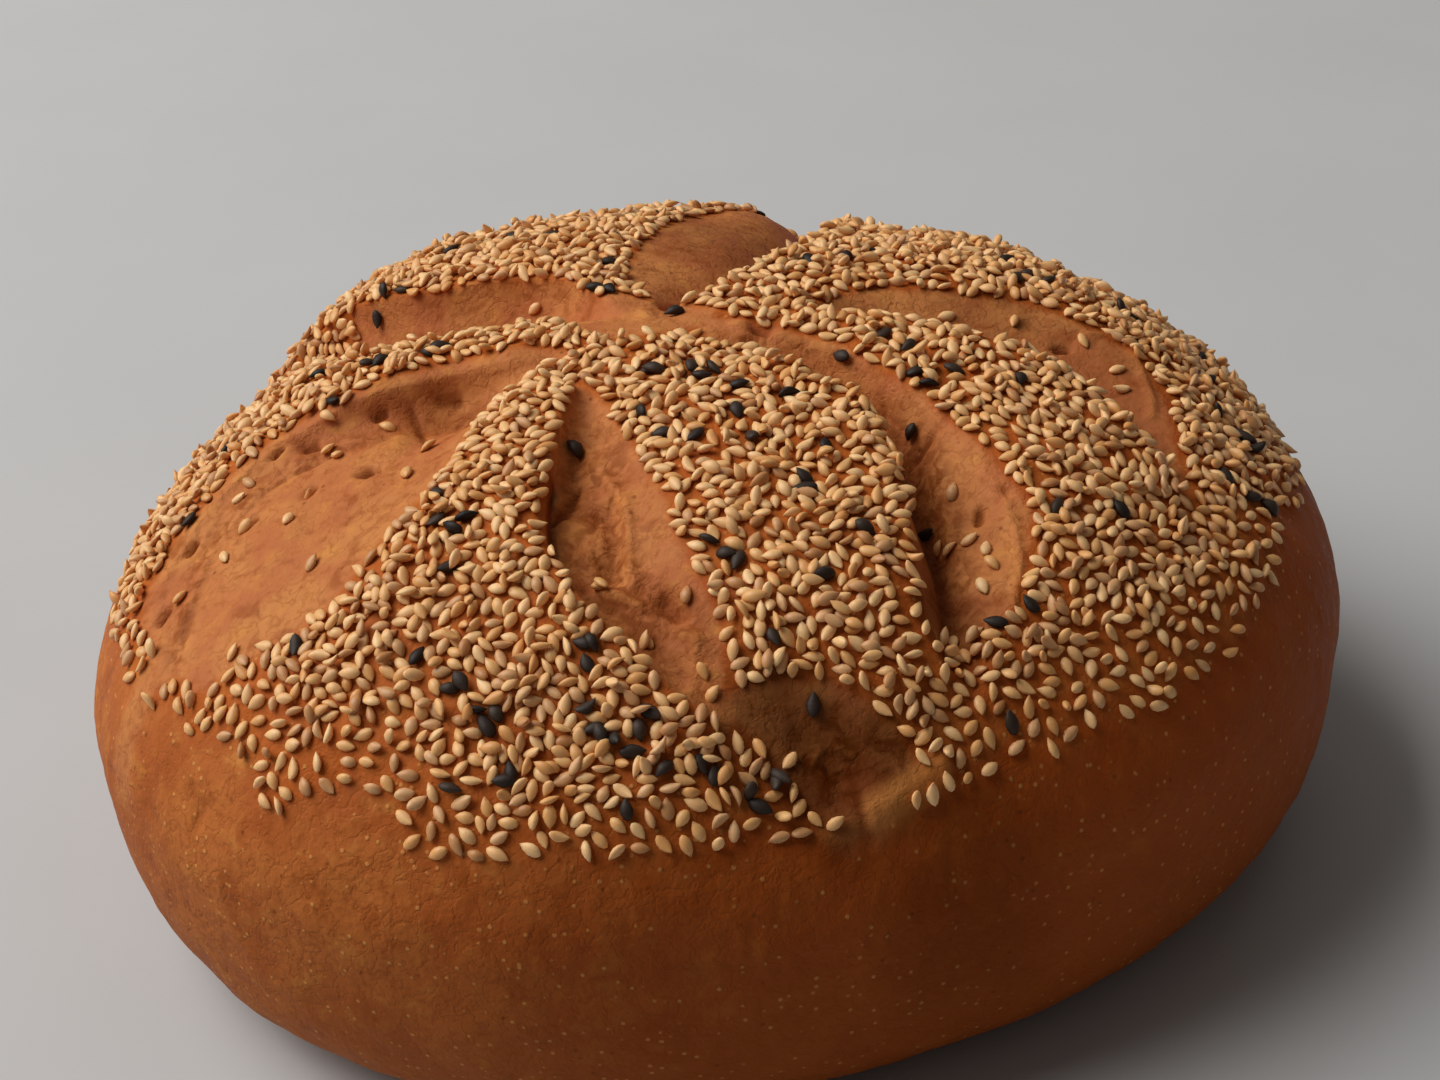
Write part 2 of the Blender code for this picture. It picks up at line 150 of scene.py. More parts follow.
# Small forms in the crust: plan points of a line, how wide it is and how far it stands up or goes down.
MARKS = (
    (((-20.3, -39.5), (-20.7, -44), (-20.7, -49), (-20, -54), (-19, -57)), 0.9, -3.2),
    (((-17.5, -38.8), (-18.6, -43), (-19.9, -46.5)), 0.5, -1.3),
    (((-19.2, -42.8), (-18.9, -41.4)), 1.0, 1.1),
    (((-18.2, -46.2), (-17.8, -48.4)), 1.8, 0.9),
    (((-16.1, -30.4), (-13.5, -37.5), (-10.9, -43.3), (-9.8, -48.4), (-9.7, -54.5), (-9.3, -59)),
     0.8, 0.6),
    (((-13.3, -45.5), (-12.2, -53.3), (-12.9, -57.8)), 1.7, -1.5),
    (((-14.5, -59.5), (-11.2, -61.3), (-8.5, -63.2)), 0.9, 0.8),
    (((-4.6, -63.0), (-3.1, -65.4)), 1.4, -1.4),
    (((-0.8, -69.6), (-1.2, -75.9)), 1.0, 0.6),
    (((32.5, -29), (34.5, -38), (36.4, -50), (37.0, -61), (36.3, -69)), 1.25, -2.3),
    (((43, -38), (45, -42), (46.4, -48), (46.4, -54), (44.8, -60), (43.4, -65)), 0.6, 0.5),
    (((64.5, 5), (70, 4.5), (72, -1), (73, -9.5), (72.3, -15)), 0.7, 0.6),
    (((56, 7), (62, 4)), 1.6, -0.8),
    (((-39.8, -9), (-37, -9.6)), 1.3, -1.8),
    (((-35.5, -15.5), (-35.2, -18)), 1.2, -1.2),
    (((-44.2, -10.5), (-42.6, -16), (-41, -21)), 0.7, -0.9),
    (((-46, -16.5), (-46, -20.5)), 2.2, 0.9),
    (((15.5, -89.4), (19.5, -88.4)), 1.7, 0.6),
    (((22.5, -87), (25.5, -85.6), (28.5, -83.9), (32, -81.5)), 1.8, 1.5),
    (((13, -81), (16.5, -83), (19.5, -83.6)), 2.2, -0.9),
    (((17.2, -84.4), (18.6, -84.9)), 0.7, -0.6),
    (((14.8, -83.6), (16.0, -82.2)), 0.6, 0.5),
    (((18.2, -81.6), (20.4, -82.4)), 0.6, 0.45),
    (((11, -3.3), (12.6, -4.1)), 1.2, -1.6),
    (((8.2, -2.6), (9.6, -3.2)), 1.1, 0.7),
)
# Darker crust, partly baked darker and partly painted shade where the crust lies in a hollow or faces
# away from the light: plan point, how wide and how much.
BAKED_SHADE = (
    ((9, -79), 8.0, 0.68), ((17, -83), 8.5, 1.0), ((24, -82), 6.0, 0.95), ((12, 45), 19.0, 0.38),
    ((64, -6), 17.0, 0.34), ((50, 7), 12.0, 0.36), ((36, -66), 8.0, 0.35), ((-45, -9), 9.0, 0.15),
    ((-4, -68), 8.0, 0.25), ((-50, 18), 16.0, 0.15), ((36, -92), 15.0, 0.38), ((-8, -96), 26.0, 0.20),
)
BAKED_SHADE_FADE = (1.0, 1.5)
# Slots that lost seeds left in the crust: plan point and direction in degrees.
SLOTS = (
    ((-49.5, -25.5), 25), ((-50.8, -24.6), 20), ((-60, -14), 0), ((-59.5, -25), 60), ((-69, -27), 30),
    ((-78, -26), 65), ((-81, -38), 60), ((-65, -13), 45), ((-49, -11), 20), ((42.5, -45), 80),
    ((36, -29), 30), ((29.5, -20.5), 20), ((61, 2), 10), ((-55, 24), 30), ((30, 40), 60),
)
SLOT_LENGTH = 1.6
SLOT_WIDTH = 0.75
SLOT_DEPTH = 1.5
# Pits strewn over the top: how many, how wide and long, and how deep for their width.
SMALL_PITS = 150
PIT_WIDTHS = (0.35, 0.9)
PIT_LENGTH = 0.2
PIT_STEEPNESS = 0.55
PITS_DRAW = 7
# How many widths a small form reaches, and how high, deep or narrow it has to be for its full tint.
MARK_REACH = 3
FULL_MARK_HEIGHT = 1.3
SHARP_WIDTH = 0.9

# The crust's mesh: how far apart its points lie, closer in a band along the walls and small forms.
GRID = 1.06
FINE_GRID = 0.62
FINE_BAND = 1.6
SIDE_RINGS = 46
BASE_GRID = 4.0
BASE_GRID_REACH = 0.95
BASE_GRID_INSET = 0.97
# How far down lips have points of their own, and shares of a step that the grid keeps off them and edges.
LIPS_END = 0.9
LIP_GAP = 0.5
EDGE_GAP = 0.6
SAME_POINT = 0.0001
# How finely curves, lengths down the dome and tangents are worked out.
POINTS_PER_SPAN = 10
ARC_STEPS = 600
TANGENT_STEP = 0.001
POINTS_AT_ONCE = 8000
LEAST_LENGTH = 0.01
NEAR_ZERO = 1e-9

# Where seeds lie. Limits are (degrees round the loaf, how far down the dome).
SEED_LIMIT = ((0, 0.75), (45, 0.74), (90, 0.76), (135, 0.74), (180, 0.76), (199, 0.77), (213, 0.74),
              (226, 0.72), (231, 0.77), (238, 0.70), (246, 0.78), (252, 0.78), (262, 0.77), (277, 0.79),
              (290, 0.77), (301, 0.74), (318, 0.77), (328, 0.75), (337, 0.71), (345, 0.70), (355, 0.74))
# Ragged edges of the coat, to a bare place and to its lower limit: width, spacing and shift of noise.
FRINGE = ((0.9, 7.0, 31.0), (0.7, 2.8, 71.0))
LIMIT_FRINGE = ((0.03, 8.0, 47.0),)
# Fades of the crust's colour there: bare slopes, and the darker, redder crust between seeds, partly its
# own bake and partly painted shade from the seeds.
BARE_FADE = (0.8, -1.2)
SEEDED_FROM_LIMIT = (-0.01, 0.03)
SEEDED_FROM_BARE = (-0.3, 0.6)
# The side of the loaf, in degrees, whose plain crust gets painted shade: redder and darker, away from the
# key light.
SHADED_SIDE_TOWARDS = -40.0
SHADED_SIDE_FADE = (-0.1, 0.9)
CRUST_FIELDS = ("bare", "sunk", "torn", "dent", "fold", "low", "seeded", "baked", "shaded_side")

# Plan points of black seeds, and of light seeds that lie alone on bare crust.
BLACK_PLACES = (
    (-41, 47), (-51, 34), (-53, 33), (-41, -1), (-39, 0), (-51, 1), (-49, 1), (-60, 5), (-56, -8),
    (-73, 7), (-75, -2), (-79, -20), (-38, -41), (-37, -48), (-35, -50), (-33, -49), (-18, -30),
    (-14, 14), (-12, 12), (-2, 3), (-6, -17), (-5, -18), (1, -17), (2, -20), (4, -19), (8, -24),
    (15, -26), (-7, -28), (7, -30), (-4, -34), (1, -36), (9, -37), (20, -39), (16, -46), (16, -48),
    (24, -11), (31, -8), (35, -11), (41, -17), (35, -18), (37, -21), (35, -41), (24, -55), (2, -57),
    (4, -59), (6, -60), (18, -63), (34, -25), (21, 20), (27, 23), (55, 29), (55, 19), (61, 20),
    (72, 17), (73, 15), (86, 16), (85, 5), (84, -8), (88, -11), (89, -13), (82, -26), (86, -27),
    (89, -26), (53, -45), (63, -43), (47, -61), (42, -64), (51, -18), (-36, -57), (-58, -60),
    (-40, -68), (-35, -73), (-33, -73), (-31, -77), (-29, -77), (-30, -79), (-16, -71), (-15, -71),
    (-16, -74), (-27, -84), (-35, -84), (-28, -85), (-16, -79), (-15, -81), (-14, -82), (-12, -83),
    (-10, -84), (-9, -82), (-7, -80), (-6, -86), (-1, -85), (1, -86), (5, -87), (7, -88), (-11, -90),
    (9, -85), (10, -85), (15, -77), (10, -71), (43, -76),
)
LONE_PLACES = (
    (-25, 22), (-9, 16), (-54, -8), (-57, -9.5), (-48, -12), (-56.5, -15.5), (-55, -16.5), (-43.5, -30),
    (-40, -23.5), (-71, -19.5), (-70, -16.5), (-69, -28), (-62, -31.5), (-59, -25.5), (-72, -33),
    (-57, -44.5), (-79, -36.5), (-84.5, -44.5), (-82.5, -43.5), (-63, -57), (34, -66), (36.5, -64),
    (39.5, -64), (33, -70), (-68, -54), (-14, -58), (-7, -67), (-9, -75), (-12, -70), (-12, -73),
    (39, -38), (36, -45.5), (37.3, -47.7), (40, -48), (42, -50.5), (42.5, -54), (41, -57.5), (53, 7),
    (64, 3), (69, -3), (69, -8), (42, 8), (39, 14), (11, -82.5), (17, -88.5), (0, -74), (1, -76),
    (-20, -59), (-19, -55), (-7, -67), (-13.5, -58.5), (-1.5, -63.5), (12.5, -89.5), (9, -91),
)
# Such a seed is turned until it fits, or else raised over the others.
PLACE_JITTER = 0.4
PLACE_TURNS = 6
OVER_OTHERS = 0.55
# Black seeds that chance adds to the coat at the back.
BLACK_AT_BACK = 34
BACK_FROM = 20
BLACK_CHANCE = 0.03

# Kinds of light seed, with the share of each low on the loaf and at its top.
KINDS = (("pale", 0.34, 0.58), ("golden", 0.36, 0.32), ("toasted", 0.30, 0.10))
LOW_TO_TOP = (70.0, 88.0)
# A seed's length, width and thickness, and how much they differ from seed to seed.
SEED_SIZE = (3.25, 1.8, 1.15)
BLACK_SIZE = (3.6, 2.1, 1.3)
SIZE_SPREAD = 0.055
PART_SPREAD = 0.045
# Its form: where its rings lie, how full the blunt end is, and how round each end is.
SEED_STATIONS = (0.09, 0.27, 0.5, 0.73, 0.91)
SEED_SIDES = 8
SEED_FULLNESS = 1.2
SEED_ROUNDNESS = 0.75
SEED_TAPER = 0.2
SEED_BEND = 0.10
BEND_LEVEL = 0.8
SEED_TONE = (0.60, 0.30)
# How it lies: on its flat side, or now and then rolled onto its edge or pitched onto its end.
SEED_LIFT = 0.30
BLACK_LIFT = 0.25
ROLL_SPREAD = 0.26
PITCH_SPREAD = 0.15
ON_EDGE = 0.13
EDGE_ROLLS = (0.6, 1.4)
EDGE_LIFT = 0.38
ON_END = 0.08
END_PITCHES = (0.4, 0.9)
END_LIFT = 0.75
# Balls that stand in for a seed when seeds are kept apart: where along it, and how large.
SEED_SPHERES = ((-0.96, 0.48), (0.0, 0.83), (0.82, 0.67))
SQUEEZE = 0.24
LEAST_APART = 1.2
CELL = 3.6

# The coat: how many spots are tried, and the least room from bare places and rise above the limit that a
# triangle and then a seed needs.
SCATTER_DRAW = 23
CANDIDATES = 60000
TURNS_TRIED = 5
COAT_FACES = (0.1, -0.01)
COAT_ROOM = 0.35
# Seeds lie further apart towards the lower limit, in drifts, and in a few sparse places.
CLOSE_GAP = 0.02
FRINGE_DEPTH = 0.16
FRINGE_GAP = 0.65
DRIFT_SPACING = 9.0
DRIFT_SHARE = 0.15
DRIFT_ON_TOP = 0.3
DRIFT_GAP = 0.45
SPARSE = (((29, -71), 10.0), ((-47, -74), 9.0), ((62, -58), 9.0))
SPARSE_GAP = 0.45
# Seeds stacked on the coat, raised step by step until they touch those below little enough.
STACKED = 760
STACK_TRIES = 16000
STACK_FACES = (0.9, 0.12)
STACK_LIFT = 0.35
STACK_STEPS = 7
STACK_STEP = 0.1
STACK_TOUCH = -0.14


def smooth(low, high, values):
    share = np.clip((values - low) / (high - low), 0.0, 1.0)
    return share * share * (3.0 - 2.0 * share)


def curve_through(points):
    """A smooth curve through the points, as a polyline."""
    knots = np.array(points, float)
    knots = np.vstack([2 * knots[0] - knots[1], knots, 2 * knots[-1] - knots[-2]])
    t = np.arange(POINTS_PER_SPAN)[:, None] / POINTS_PER_SPAN
    spans = []
    for before, start, end, after in zip(knots, knots[1:], knots[2:], knots[3:]):
        line = 2 * start + (end - before) * t
        bend = (2 * before - 5 * start + 4 * end - after) * t**2
        twist = (3 * start - before - 3 * end + after) * t**3
        spans.append(0.5 * (line + bend + twist))
    return np.vstack(spans + [knots[-2:-1]])


def lip_and_rim(cut):
    lip = curve_through((cut["start"], *cut["lip"], cut["end"]))
    rim = curve_through((cut["start"], *cut["rim"], cut["end"]))
    return lip, rim


def toward(plan, line):
    """From each plan point to the nearest point of the line."""
    starts, steps = line[:-1], np.diff(line, axis=0)
    gaps = []
    for some in np.array_split(plan, max(1, len(plan) // POINTS_AT_ONCE)):
        offset = some[:, None, :] - starts[None]
        along = np.clip((offset * steps).sum(2) / (steps**2).sum(1), 0.0, 1.0)
        gap = along[:, :, None] * steps - offset
        near = (gap**2).sum(2).argmin(1)
        gaps.append(gap[np.arange(len(some)), near])
    return np.vstack(gaps)


def within(plan, outline):
    """True for the plan points inside a closed outline."""
    x, y = plan[:, 0, None], plan[:, 1, None]
    ends = np.roll(outline, -1, axis=0)
    straddles = (outline[:, 1] > y) != (ends[:, 1] > y)
    rise = np.where(ends[:, 1] == outline[:, 1], 1.0, ends[:, 1] - outline[:, 1])
    crossing = outline[:, 0] + (y - outline[:, 1]) / rise * (ends[:, 0] - outline[:, 0])
    return (straddles & (x < crossing)).sum(1) % 2 == 1


def length(vectors):
    return np.linalg.norm(vectors, axis=1)


def rough(points, spacing, shift=0.0):
    """Noise from -1 to 1 at the points, its lumps about one spacing apart."""
    return np.array([noise.noise(Vector(spot)) for spot in points / spacing + shift])


def ragged(points, fringes):
    return sum(width * rough(points, spacing, shift) for width, spacing, shift in fringes)


def relief(plan):
    """What the cuts do to the crust at each plan point."""
    count = len(plan)
    height = np.zeros(count)
    clear = np.full(count, RADIUS)
    seedless = np.full(count, RADIUS)
    sunk = np.zeros(count)
    torn = np.zeros(count)
    lean = np.zeros((count, 2))
    reach = length(plan)
    for number, cut in enumerate(CUTS.values()):
        lip, rim = lip_and_rim(cut)
        wall = cut["wall"]
        lip_way, rim_way = toward(plan, lip), toward(plan, rim)
        to_lip, to_rim = length(lip_way), length(rim_way)
        inside = within(plan, np.vstack([lip, rim[::-1]]))
        open_share = smooth(0.0, FULL_DEPTH_WIDTH, to_lip + to_rim)
        slope = np.maximum(to_lip + to_rim - wall, LEAST_SLOPE)
        up_slope = np.clip((to_lip - wall) / slope, 0.0, 1.0)
        share = smooth(0.0, wall, to_lip) * (1.0 - up_slope) ** cut["roundness"]
        first, last, loss = cut["shallow"]
        kept = 1.0 - loss * smooth(first, last, reach)
        share *= kept
        near_lip = LIP_RISE * kept * smooth(0.0, wall, to_rim - to_lip)
        over_wall = near_lip * (1.0 - smooth(0.0, wall / 2, to_lip))
        behind_lip = near_lip * np.exp(-((to_lip / LIP_SPREAD) ** 2))
        height += np.where(inside, over_wall - cut["depth"] * open_share * share, behind_lip)
        tearing = 1.0 - smooth(TEAR_FULL_TO * cut["torn"], cut["torn"] + TEAR_PAST, to_lip - wall)
        foot = smooth(wall * TEAR_FROM, wall, to_lip) * smooth(0.0, TEAR_OFF_RIM, to_rim)
        tearing *= foot * open_share * inside
        strands = np.zeros(count)
        for rise, wide, long, shift in STRANDS:
            strands += rise * rough(np.column_stack([to_lip / wide, plan / long]), 1.0, shift * number)
        height += tearing * strands
        torn = np.maximum(torn, tearing)
        side = np.where(inside, -1.0, 1.0)
        clear = np.minimum(clear, side * np.minimum(to_lip, to_rim))
        gap = side * np.minimum(to_lip + side * cut["seeds_over"], to_rim)
        seedless = np.minimum(seedless, np.where(reach > cut["bare_to"], RADIUS, gap))
        sunk = np.maximum(sunk, np.where(inside, open_share * share, 0.0))
        under = OVERHANG * np.sin(math.pi * np.clip(to_lip / wall, 0.0, 1.0)) * open_share * inside
        lean += lip_way / np.maximum(to_lip, LEAST_LENGTH)[:, None] * under[:, None]
    for patch in BARE_PATCHES:
        edge = curve_through((*patch, patch[0]))
        gap = length(toward(plan, edge)) * np.where(within(plan, edge), -1.0, 1.0)
        seedless = np.minimum(seedless, gap)
    fade = 1.0 - smooth(*CUTS_FADE, reach)
    crown = RIDGE_CROWN * (1.0 - CROWN_LOSS * smooth(*CROWN_FADE, reach))
    height = fade * (height + crown * smooth(-RIDGE_SPREAD, RIDGE_SPREAD, clear))
    return {
        "height": height,
        "seedless": seedless,
        "sunk": sunk * fade,
        "torn": torn * fade,
        "lean": lean * fade[:, None],
    }


def swells(plan, down):
    """How far this loaf swells or sags, less and less towards its widest ring."""
    swell = np.zeros(len(plan))
    for place, spread, rise in SWELLS:
        swell += rise * np.exp(-((length(plan - place) / spread) ** 2))
    return swell * (1.0 - smooth(*SWELLS_FADE, down))


def marks(plan):
    """The rise of the small forms at each plan point, and how much of a dent or a fold it is."""
    rise, dent, fold = (np.zeros(len(plan)) for _ in range(3))
    lines = list(MARKS)
    for (x, y), degrees in SLOTS:
        turn = math.radians(degrees)
        step = np.array([math.cos(turn), math.sin(turn)]) * SLOT_LENGTH / 2
        lines.append((((x, y) - step, (x, y) + step), SLOT_WIDTH, -SLOT_DEPTH))
    draw = random.Random(PITS_DRAW)
    for _ in range(SMALL_PITS):
        x, y = draw.uniform(-RADIUS, RADIUS), draw.uniform(-RADIUS, RADIUS)
        width = draw.uniform(*PIT_WIDTHS)
        lines.append((((x, y), (x, y + PIT_LENGTH)), width, -PIT_STEEPNESS * width))
    for line, width, height in lines:
        line = curve_through(line)
        low, high = line.min(0) - MARK_REACH * width, line.max(0) + MARK_REACH * width
        near = np.where(((plan > low) & (plan < high)).all(1))[0]
        if not len(near):
            continue
        share = np.exp(-((length(toward(plan[near], line)) / width) ** 2))
        rise[near] += height * share
        # A dent's share sets painted shade in the crust's colour; a fold's share sets a paler colour,
        # partly a painted highlight.
        kind = dent if height < 0 else fold
        sharp = 1.0 if height > 0 else min(1.0, SHARP_WIDTH / width)
        kind[near] = np.maximum(kind[near], share * sharp * min(1.0, abs(height) / FULL_MARK_HEIGHT))
    return rise, dent, fold


def uneven(turn):
    """How far out the loaf reaches in each direction, as a share of its radius."""
    share = np.ones(np.shape(turn))
    for lobes, wave, towards in PLAN_WAVES:
        share += wave * np.cos(lobes * turn - math.radians(towards))
    return share


def dome(down, turn):
    """Points of the plain dome. Down is 0 at its top, 1 at its widest and 2 at its underside."""
    over = np.clip(down, 0.0, 1.0) * math.pi / 2
    under = np.clip(down - 1.0, 0.0, 1.0) * math.pi / 2
    side = BASE_RADIUS + (RADIUS - BASE_RADIUS) * np.cos(under) ** (2 / SIDE_ROUNDNESS)
    radius = np.where(down < 1.0, RADIUS * np.sin(over) ** (2 / SHOULDER_ROUNDNESS), side)
    top = WIDEST_AT + (HEIGHT - WIDEST_AT) * np.cos(over)
    height = np.where(down < 1.0, top, WIDEST_AT * (1.0 - np.sin(under) ** (2 / SIDE_ROUNDNESS)))
    x = radius * uneven(turn) * np.cos(turn)
    y = radius * uneven(turn) * np.sin(turn)
    return np.column_stack([x, y, height * (1.0 + (RISE_TO_RIGHT * x + RISE_TO_BACK * y) / RADIUS)])


def on_dome(plan):
    """How far down the dome and in which direction each plan point lies."""
    turn = np.arctan2(plan[:, 1], plan[:, 0])
    share = length(plan) / uneven(turn) / RADIUS
    return np.arcsin(np.clip(share, 0.0, 1.0) ** (SHOULDER_ROUNDNESS / 2)) * 2 / math.pi, turn


def outward(down, turn):
    """Unit normals of the dome, from its tangents."""
    down = np.clip(down, 2 * TANGENT_STEP, 2.0 - 2 * TANGENT_STEP)
    fall = dome(down + TANGENT_STEP, turn) - dome(down - TANGENT_STEP, turn)
    sweep = dome(down, turn + TANGENT_STEP) - dome(down, turn - TANGENT_STEP)
    normal = np.cross(fall, sweep)
    return normal / length(normal)[:, None]


def arc_lengths():
    """Steps down the dome from its top to its widest ring, and how far along the crust each lies."""
    steps = np.linspace(0.0, 1.0, ARC_STEPS)
    gaps = length(np.diff(dome(steps, np.zeros(ARC_STEPS)), axis=0))
    return steps, np.concatenate([[0.0], np.cumsum(gaps)])


def laid_flat(down, turn):
    """The dome's points pressed flat, each as far from the middle as along the crust."""
    reach = np.interp(down, *arc_lengths())
    return np.column_stack([reach * np.cos(turn), reach * np.sin(turn)])


def from_flat(spots):
    steps, along = arc_lengths()
    return np.interp(length(spots), along, steps), np.arctan2(spots[:, 1], spots[:, 0])


def hexagons(reach, step):
    """Points of a grid of triangles that fills a circle."""
    rows = np.arange(-reach, reach, step * math.sqrt(3) / 2)
    columns = np.arange(-reach, reach, step)
    x = columns[None, :] + (np.arange(len(rows)) % 2)[:, None] * step / 2
    spots = np.column_stack([x.ravel(), np.repeat(rows, len(columns))])
    return spots[length(spots) < reach - step * EDGE_GAP]


def ring(down, count):
    return np.full(count, down), 2 * math.pi * np.arange(count) / count


def even(line, step):
    """The line with its points spread about one step apart."""
    along = np.concatenate([[0.0], np.cumsum(length(np.diff(line, axis=0)))])
    stops = np.linspace(0.0, along[-1], max(2, round(along[-1] / step) + 1))
    return np.column_stack([np.interp(stops, along, line[:, axis]) for axis in (0, 1)])


def off_walls(plan):
    """How far each plan point lies from the nearest wall, torn foot or small form."""
    gap = np.full(len(plan), RADIUS)
    for cut in CUTS.values():
        lip, rim = lip_and_rim(cut)
        to_lip = length(toward(plan, lip))
        band = np.where(within(plan, np.vstack([lip, rim[::-1]])), cut["wall"] + cut["torn"], 0.0)
        gap = np.minimum(gap, to_lip - band)
    for line, width, _ in MARKS:
        gap = np.minimum(gap, length(toward(plan, curve_through(line))) - width)
    for place, _ in SLOTS:
        gap = np.minimum(gap, length(plan - place) - SLOT_LENGTH)
    return gap


def top_spots(widest):
    """Points over the dome laid flat, closer together along the walls of the cuts."""
    _, along = arc_lengths()
    spots = [laid_flat(*ring(1.0, widest))]
    lips = [lip_and_rim(cut)[0] for cut in CUTS.values()]
    down, turn = on_dome(np.vstack([even(lip, FINE_GRID) for lip in lips]))
    spots.append(laid_flat(down[down < LIPS_END], turn[down < LIPS_END]))
    for step, fine in ((GRID, False), (FINE_GRID, True)):
        grid = hexagons(along[-1], step)
        plan = dome(*from_flat(grid))[:, :2]
        chosen = (off_walls(plan) < FINE_BAND) == fine
        if fine:
            near = np.min([length(toward(plan, lip)) for lip in lips], axis=0)
            chosen &= near > FINE_GRID * LIP_GAP
        spots.append(grid[chosen])
    return np.vstack(spots)


def seed_limit(turn):
    """How far down the dome the coat of seeds reaches in each direction."""
    degrees, downs = zip(*SEED_LIMIT)
    return np.interp(np.degrees(turn) % 360, degrees, downs, period=360)


def crust(down, turn):
    """Points of the crust, with what the materials and the seeds need to know at each."""
    plain = dome(down, turn)
    out = outward(down, turn)
    over = down < 1.0
    cuts = relief(plain[:, :2])
    fade = smooth(0.0, 1.0, 2.0 - down)
    height = np.where(over, cuts["height"] + swells(plain[:, :2], down), 0.0)
    height += LUMP_HEIGHT * rough(plain, LUMP_SPACING) * fade
    on_side = smooth(0.0, GRAIN_FADE, 2.0 - down)
    on_wall = np.where(over, smooth(0.0, WALL_LEAN, length(cuts["lean"])), 0.0)
    for number, (spacing, rise) in enumerate(GRAINS):
        grains = rise * rough(plain, spacing, GRAIN_SHIFT * (number + 1))
        height += grains * on_side * (1.0 - WALL_SMOOTHNESS * on_wall)
    rise, dent, fold = marks(plain[:, :2])
    height += np.where(over, rise, 0.0)
    lean = np.column_stack([cuts["lean"], np.zeros(len(plain))]) * over[:, None]
    lean -= out * (lean * out).sum(1)[:, None]
    points = plain + out * height[:, None] + lean
    points[:, 2] = np.maximum(points[:, 2], 0.0)
    clear = cuts["seedless"] + ragged(plain, FRINGE)
    above = seed_limit(turn) - down + ragged(plain, LIMIT_FRINGE)
    room = np.where(over, clear, -1.0)
    # Darker crust, partly baked and partly painted shade, fading out down the side.
    baked = np.zeros(len(plain))
    for place, spread, share in BAKED_SHADE:
        baked = np.maximum(baked, share * np.exp(-((length(plain[:, :2] - place) / spread) ** 4)))
    baked *= 1.0 - smooth(*BAKED_SHADE_FADE, down)
    return points, {
        "bare": np.where(over, smooth(*BARE_FADE, clear), 0.0),
        "sunk": np.where(over, cuts["sunk"], 0.0),
        "torn": np.where(over, cuts["torn"], 0.0),
        "dent": np.where(over, dent, 0.0),
        "fold": np.where(over, fold, 0.0),
        "low": np.clip(down / 2.0, 0.0, 1.0),
        "seeded": smooth(*SEEDED_FROM_LIMIT, above) * smooth(*SEEDED_FROM_BARE, room),
        "baked": baked,
        # Painted shade: redder, darker crust on the side away from the key light.
        "shaded_side": smooth(*SHADED_SIDE_FADE, np.cos(turn - math.radians(SHADED_SIDE_TOWARDS))),
        "room": room,
        "above": above,
    }


def triangles_over(spots, edges):
    """The flat spots joined by triangles, and which of the given spots each one comes from."""
    found = geometry.delaunay_2d_cdt([Vector(spot) for spot in spots], edges, [], 1, SAME_POINT, True)
    kept, faces, sources = np.array(found[0]), found[2], found[3]
    return kept, np.array([face for face in faces if len(face) == 3]), sources


def make_crust():
    """The crust's points, triangles and fields, from the top over the side to the underside."""
    widest = round(2 * math.pi * RADIUS / GRID)
    loop = [(spot, (spot + 1) % widest) for spot in range(widest)]
    spots, faces, sources = triangles_over(top_spots(widest), loop)
    place = {source: spot for spot, kept in enumerate(sources) for source in kept}
    points, fields = crust(*from_flat(spots))
    upper = np.array([place[spot] for spot in range(widest)])
    all_points, all_fields, all_faces, total = [points], [fields], [faces], len(points)
    after = np.roll(np.arange(widest), -1)
    for number in range(1, SIDE_RINGS + 1):
        points, fields = crust(*ring(1.0 + number / SIDE_RINGS, widest))
        lower = total + np.arange(widest)
        all_faces.append(np.column_stack([upper, lower, lower[after]]))
        all_faces.append(np.column_stack([upper, lower[after], upper[after]]))
        all_points.append(points)
        all_fields.append(fields)
        total += widest
        upper = lower
    inner = hexagons(BASE_RADIUS * BASE_GRID_REACH, BASE_GRID)
    inner = inner[within(inner, points[:, :2] * BASE_GRID_INSET)]
    spots, faces, sources = triangles_over(np.vstack([points[:, :2], inner]), loop)
    place = np.zeros(len(spots), int)
    fresh = []
    for spot, kept in enumerate(sources):
        if kept and kept[0] < widest:
            place[spot] = upper[kept[0]]
        else:
            place[spot] = total + len(fresh)
            fresh.append(spot)
    all_points.append(np.column_stack([spots[fresh], np.zeros(len(fresh))]))
    all_fields.append({name: np.full(len(fresh), fields[name][0]) for name in fields})
    all_faces.append(place[faces][:, ::-1])
    points = np.vstack(all_points)
    fields = {name: np.concatenate([some[name] for some in all_fields]) for name in fields}
    return points, np.vstack(all_faces), fields


def new_mesh(name, points, faces, fields, material):
    mesh = bpy.data.meshes.new(name)
    mesh.vertices.add(len(points))
    mesh.vertices.foreach_set("co", (points * MM).astype(np.float32).ravel())
    mesh.loops.add(faces.size)
    mesh.loops.foreach_set("vertex_index", faces.astype(np.int32).ravel())
    mesh.polygons.add(len(faces))
    mesh.polygons.foreach_set("loop_start", np.arange(0, faces.size, faces.shape[1], dtype=np.int32))
    mesh.polygons.foreach_set("use_smooth", np.ones(len(faces), bool))
    mesh.update(calc_edges=True)
    for field, values in fields.items():
        kept = mesh.attributes.new(field, "FLOAT", "POINT")
        kept.data.foreach_set("value", values.astype(np.float32))
    mesh.materials.append(material)
    piece = bpy.data.objects.new(name, mesh)
    bpy.context.scene.collection.objects.link(piece)
    return piece


# Materials

